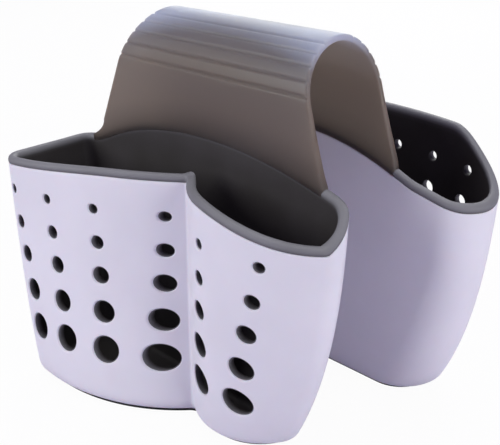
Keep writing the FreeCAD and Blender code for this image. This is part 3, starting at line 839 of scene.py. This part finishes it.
arch = np.linspace(-math.pi / 2, math.pi / 2, ARCH_STEPS + 1)[:, None]
groove = groove_depth(arch[:, 0] * SIZE["strap_radius"])[:, None]
radius = INNER_RADIUS + (SIZE["strap_thickness"] - groove) * ring_out
arch_z = CENTRE_Z + SIZE["strap_radius"] * np.cos(arch)
arch_x = np.where(arch < 0, strap_x("front", arch_z), strap_x("back", arch_z))
arch_rows = np.stack([arch_x, radius * np.sin(arch), CENTRE_Z + radius * np.cos(arch)], -1)
legs = [strap_leg(name, basket) for name, basket in BASKETS.items()]
strap_grid = np.concatenate([legs[0], arch_rows, legs[1][::-1]])
strap_grid = np.concatenate([strap_grid, strap_grid[:, :1]], 1)
strap = build_mesh("strap_moulding", [strap_grid], (), SOFT_EDGE_ANGLE)
points = point_array(strap)
# heights above the lip, by which the material paints shade near the feet and a highlight over the crown
roots = [basket.heights(points[:, 0])[0] + LIP for basket in BASKETS.values()]
set_attribute(strap, "above_root", points[:, 2] - np.where(points[:, 1] < 0, roots[0], roots[1]))
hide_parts("saddle_strap")
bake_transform(strap)
pieces["saddle_strap"] = strap


# %% [markdown]
# ## Finishes
# One function turns sRGB hex values into linear colours, and one adds a node with its settings and
# links. Each material is named for what the real one is and how its surface was made.

# %% Colour and node helpers
def hex_colour(code):
    """Linear colour of an sRGB hex value: each channel c becomes ((c + 0.055) / 1.055) to 2.4."""
    channels = np.array([int(code[i:i + 2], 16) / 255 for i in (1, 3, 5)])
    linear = np.where(channels <= 0.04045, channels / 12.92, ((channels + 0.055) / 1.055) ** 2.4)
    return (*linear.tolist(), 1.0)


def add_node(tree, kind, links=None, sockets=None, **settings):
    """Adds a node of a kind, sets its settings and socket values, and links its inputs."""
    node = tree.nodes.new(kind)
    for key, value in settings.items():
        setattr(node, key, value)
    for key, value in (sockets or {}).items():
        node.inputs[key].default_value = value
    for key, source in (links or {}).items():
        tree.links.new(source, node.inputs[key])
    return node


def set_ramp(ramp, stops):
    """Gives a colour ramp its stops of (position, hex colour), of which there are at least two."""
    elements = ramp.color_ramp.elements
    while len(elements) < len(stops):
        elements.new(0.5)
    for element, (position, code) in zip(elements, stops):
        element.position = position
        element.color = hex_colour(code)


def new_material(name):
    """Empty node material with its output, and its object coordinates in metres."""
    material = bpy.data.materials.new(name)
    material.use_nodes = True
    tree = material.node_tree
    tree.nodes.clear()
    output = add_node(tree, "ShaderNodeOutputMaterial")
    where = add_node(tree, "ShaderNodeTexCoord")
    return material, tree, output, where.outputs["Object"]


def per_mm(size_mm):
    """Texture scale for a feature of this size in millimetres, on coordinates in metres."""
    return 1000.0 / size_mm


# %% [markdown]
# ### Moulded polypropylene
# The shells are hard injection-moulded polypropylene, lavender white with a soft gloss. The eye
# sees a faint cloudiness in the colour and a very fine orange-peel in the gloss.

# %% Shell material
shell_material, tree, output, where = new_material("moulded_polypropylene_lavender_white")
cloud = add_node(tree, "ShaderNodeTexNoise", {"Vector": where}, {"Scale": per_mm(38.0), "Detail": 3.0})
tint = add_node(tree, "ShaderNodeValToRGB", {"Fac": cloud.outputs["Fac"]})
set_ramp(tint, [(0.35, "#dad7e3"), (0.65, "#dfdce8")])
peel = add_node(tree, "ShaderNodeTexNoise", {"Vector": where}, {"Scale": per_mm(1.1), "Detail": 2.0})
gloss = add_node(tree, "ShaderNodeMapRange", {"Value": peel.outputs["Fac"]}, {"To Min": 0.34, "To Max": 0.46})
bump = add_node(tree, "ShaderNodeBump", {"Height": peel.outputs["Fac"]},
                {"Strength": 0.05, "Distance": 0.0001})
shader = add_node(tree, "ShaderNodeBsdfPrincipled",
                  {"Base Color": tint.outputs["Color"], "Roughness": gloss.outputs["Result"],
                   "Normal": bump.outputs["Normal"]},
                  {"IOR": 1.49, "Subsurface Weight": 0.12, "Subsurface Scale": 0.002})
tree.links.new(shader.outputs["BSDF"], output.inputs["Surface"])

# %% [markdown]
# ### Matt thermoplastic elastomer
# The liners are a soft elastomer with a fine spark-eroded texture from the mould, which scatters
# the light so that it looks dry and even. The lip has the liner's own grey, and the inside of the
# basket is painted much darker as painted shade.

# %% Liner material
liner_material, tree, output, where = new_material("moulded_elastomer_grey_painted_shade_inside")
grain = add_node(tree, "ShaderNodeTexNoise", {"Vector": where}, {"Scale": per_mm(0.9), "Detail": 4.0})
patch = add_node(tree, "ShaderNodeTexNoise", {"Vector": where}, {"Scale": per_mm(22.0), "Detail": 2.0})
# painted shade: this dark colour stands for the shade inside the basket; the lip colour below is the liner's
# own grey
painted_shade_tint = add_node(tree, "ShaderNodeValToRGB", {"Fac": patch.outputs["Fac"]})
set_ramp(painted_shade_tint, [(0.3, "#302c2d"), (0.7, "#393538")])
lip_tint = add_node(tree, "ShaderNodeValToRGB", {"Fac": patch.outputs["Fac"]})
set_ramp(lip_tint, [(0.3, "#6d6c72"), (0.7, "#77767d")])
unshaded_share = add_node(tree, "ShaderNodeAttribute", attribute_name="unshaded_share")
tint = add_node(tree, "ShaderNodeMixRGB",
                {"Fac": unshaded_share.outputs["Fac"], "Color1": painted_shade_tint.outputs["Color"],
                 "Color2": lip_tint.outputs["Color"]})
gloss = add_node(tree, "ShaderNodeMapRange", {"Value": grain.outputs["Fac"]},
                 {"To Min": 0.50, "To Max": 0.66})
bump = add_node(tree, "ShaderNodeBump", {"Height": grain.outputs["Fac"]},
                {"Strength": 0.12, "Distance": 0.0001})
shader = add_node(tree, "ShaderNodeBsdfPrincipled",
                  {"Base Color": tint.outputs["Color"], "Roughness": gloss.outputs["Result"],
                   "Normal": bump.outputs["Normal"]},
                  {"IOR": 1.45})
tree.links.new(shader.outputs["BSDF"], output.inputs["Surface"])

# %% [markdown]
# ### Satin elastomer of the strap
# The strap is the same kind of elastomer, thinner and a little see-through, so it glows warm where
# it is thin. Its colour is painted darker towards the feet, as painted shade near the basket's
# opening, and painted paler and cooler over the crown, as a painted highlight and reflection of the
# top light. A share of its shader passes light through, which lights the inside of the arch.

# %% Strap material
LIGHT_PASSED = 0.34
strap_material, tree, output, where = new_material("moulded_elastomer_warm_grey")
height = add_node(tree, "ShaderNodeAttribute", attribute_name="above_root")
rise = add_node(tree, "ShaderNodeMapRange", {"Value": height.outputs["Fac"]},
                {"From Min": -4.0, "From Max": 46.0})
tint = add_node(tree, "ShaderNodeValToRGB", {"Fac": rise.outputs["Result"]})
# colour by height above the lip: the dark stops near the feet are painted shade, the pale blue stop at the
# crown is a painted highlight and reflection, and the middle stops are the strap's own warm grey
set_ramp(tint, [(0.04, "#383132"), (0.14, "#4c4442"), (0.30, "#655b56"), (0.62, "#69615d"),
                (0.82, "#686870"), (0.97, "#a4aec8")])
grain = add_node(tree, "ShaderNodeTexNoise", {"Vector": where}, {"Scale": per_mm(1.0), "Detail": 3.0})
gloss = add_node(tree, "ShaderNodeMapRange", {"Value": grain.outputs["Fac"]},
                 {"To Min": 0.36, "To Max": 0.50})
bump = add_node(tree, "ShaderNodeBump", {"Height": grain.outputs["Fac"]},
                {"Strength": 0.08, "Distance": 0.0001})
shader = add_node(tree, "ShaderNodeBsdfPrincipled",
                  {"Base Color": tint.outputs["Color"], "Roughness": gloss.outputs["Result"],
                   "Normal": bump.outputs["Normal"]},
                  {"IOR": 1.5, "Subsurface Weight": 0.85, "Subsurface Radius": (1.0, 0.8, 0.65),
                   "Subsurface Scale": 0.005})
passed = add_node(tree, "ShaderNodeBsdfTranslucent", sockets={"Color": hex_colour("#f2e6da")})
mix = add_node(tree, "ShaderNodeMixShader", {1: shader.outputs["BSDF"], 2: passed.outputs["BSDF"]},
               {0: LIGHT_PASSED})
tree.links.new(mix.outputs["Shader"], output.inputs["Surface"])

# %% [markdown]
# ### Black foam rubber of the pads
# A thin black pad under each basket keeps it from sliding. It is matt and slightly grainy.

# %% Pad material
pad_material, tree, output, where = new_material("die_cut_rubber_black")
grain = add_node(tree, "ShaderNodeTexNoise", {"Vector": where}, {"Scale": per_mm(0.8), "Detail": 3.0})
tint = add_node(tree, "ShaderNodeValToRGB", {"Fac": grain.outputs["Fac"]})
set_ramp(tint, [(0.2, "#0c0c0d"), (0.8, "#1b1b1d")])
bump = add_node(tree, "ShaderNodeBump", {"Height": grain.outputs["Fac"]},
                {"Strength": 0.2, "Distance": 0.0001})
shader = add_node(tree, "ShaderNodeBsdfPrincipled",
                  {"Base Color": tint.outputs["Color"], "Normal": bump.outputs["Normal"]},
                  {"Roughness": 0.8, "IOR": 1.5})
tree.links.new(shader.outputs["BSDF"], output.inputs["Surface"])

# %% [markdown]
# ### Dressing the pieces
# Shells, liners and the strap get their materials here. The pads are the solids' own meshes and only
# get a material.

# %% Dress the pieces
FINISHES = {"shell": shell_material, "liner": liner_material}
for name in BASKETS:
    for kind, material in FINISHES.items():
        pieces[name + "_" + kind].data.materials.append(material)
    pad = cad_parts[name + "_base_pad"]
    pad.data.materials.clear()
    pad.data.materials.append(pad_material)
pieces["saddle_strap"].data.materials.append(strap_material)
print("dressed", len(pieces), "pieces and", len(BASKETS), "pads")

# %% [markdown]
# ## Floor, light and camera
# The photograph shows the holder on plain white. The floor is pale paper that still takes a faint
# shadow, and it and the world look white to the camera only. To everything else the world is a dim
# violet, which tints the shaded wall between the baskets. Large soft lamps light the holder from the
# front left, from the right, from above and from behind, as in a light tent.

# %% Floor
FLOOR_REACH = 3.0
FLOOR_GLOW = 0.96
floor_mesh = bpy.data.meshes.new("studio_floor")
floor_mesh.from_pydata([(-FLOOR_REACH, -FLOOR_REACH, 0), (FLOOR_REACH, -FLOOR_REACH, 0),
                        (FLOOR_REACH, FLOOR_REACH, 0), (-FLOOR_REACH, FLOOR_REACH, 0)], [], [(0, 1, 2, 3)])
floor = bpy.data.objects.new("studio_floor", floor_mesh)
bpy.context.scene.collection.objects.link(floor)
floor_material, tree, output, where = new_material("studio_paper_white")
fibre = add_node(tree, "ShaderNodeTexNoise", {"Vector": where}, {"Scale": per_mm(4.0), "Detail": 2.0})
tint = add_node(tree, "ShaderNodeValToRGB", {"Fac": fibre.outputs["Fac"]})
set_ramp(tint, [(0.2, "#cbc6d4"), (0.8, "#d3cfdc")])
paper = add_node(tree, "ShaderNodeBsdfPrincipled", {"Base Color": tint.outputs["Color"]}, {"Roughness": 0.9})
glow = add_node(tree, "ShaderNodeEmission", sockets={"Color": (1, 1, 1, 1), "Strength": 1.0})
path = add_node(tree, "ShaderNodeLightPath")
share = add_node(tree, "ShaderNodeMath", {0: path.outputs["Is Camera Ray"]}, {1: FLOOR_GLOW},
                 operation="MULTIPLY")
mix = add_node(tree, "ShaderNodeMixShader",
               {0: share.outputs["Value"], 1: paper.outputs["BSDF"], 2: glow.outputs["Emission"]})
tree.links.new(mix.outputs["Shader"], output.inputs["Surface"])
floor_mesh.materials.append(floor_material)

# %% World and lamps
world = bpy.data.worlds.new("light_tent")
bpy.context.scene.world = world
world.use_nodes = True
tree = world.node_tree
tree.nodes.clear()
output = add_node(tree, "ShaderNodeOutputWorld")
path = add_node(tree, "ShaderNodeLightPath")
dim = add_node(tree, "ShaderNodeBackground", sockets={"Color": hex_colour("#cbbcf0"), "Strength": 0.28})
white = add_node(tree, "ShaderNodeBackground", sockets={"Color": (1, 1, 1, 1), "Strength": 1.0})
mix = add_node(tree, "ShaderNodeMixShader",
               {0: path.outputs["Is Camera Ray"], 1: dim.outputs["Background"],
                2: white.outputs["Background"]})
tree.links.new(mix.outputs["Shader"], output.inputs["Surface"])


LAMP_TINT = hex_colour("#fcfff8")[:3]
LAMP_AIM = Vector((0.0, 0.0, 0.08))


def add_lamp(name, place_m, size_m, watts):
    """Square soft lamp that looks from its place to the middle of the holder."""
    lamp = bpy.data.lights.new(name, "AREA")
    lamp.size = size_m
    lamp.energy = watts
    lamp.color = LAMP_TINT
    made = bpy.data.objects.new(name, lamp)
    bpy.context.scene.collection.objects.link(made)
    made.location = place_m
    way = LAMP_AIM - Vector(place_m)
    made.rotation_euler = way.to_track_quat("-Z", "Y").to_euler()


add_lamp("front_left_panel", (-0.55, -1.0, 0.55), 0.7, 9.0)
add_lamp("right_panel", (1.0, 0.02, 0.50), 0.7, 7.0)
add_lamp("top_softbox", (0.0, 0.1, 1.1), 0.8, 5.5)
add_lamp("back_left_panel", (-0.6, 0.9, 0.60), 0.8, 7.4)

# %% [markdown]
# ### Camera
# The camera stands where the level base edges and the upright walls run as in the photograph.

# %% Camera at the photograph's view
camera_data = bpy.data.cameras.new("photo_camera")
camera_data.sensor_width = 36.0
camera_data.lens = 58.82
camera_data.clip_start = 0.01
camera = bpy.data.objects.new("photo_camera", camera_data)
bpy.context.scene.collection.objects.link(camera)
camera.location = (0.2208, -0.2360, 0.2235)
camera.rotation_euler = (math.radians(66.10), 0.0, math.radians(43.55))
bpy.context.scene.camera = camera
bpy.context.scene.view_settings.view_transform = "Standard"
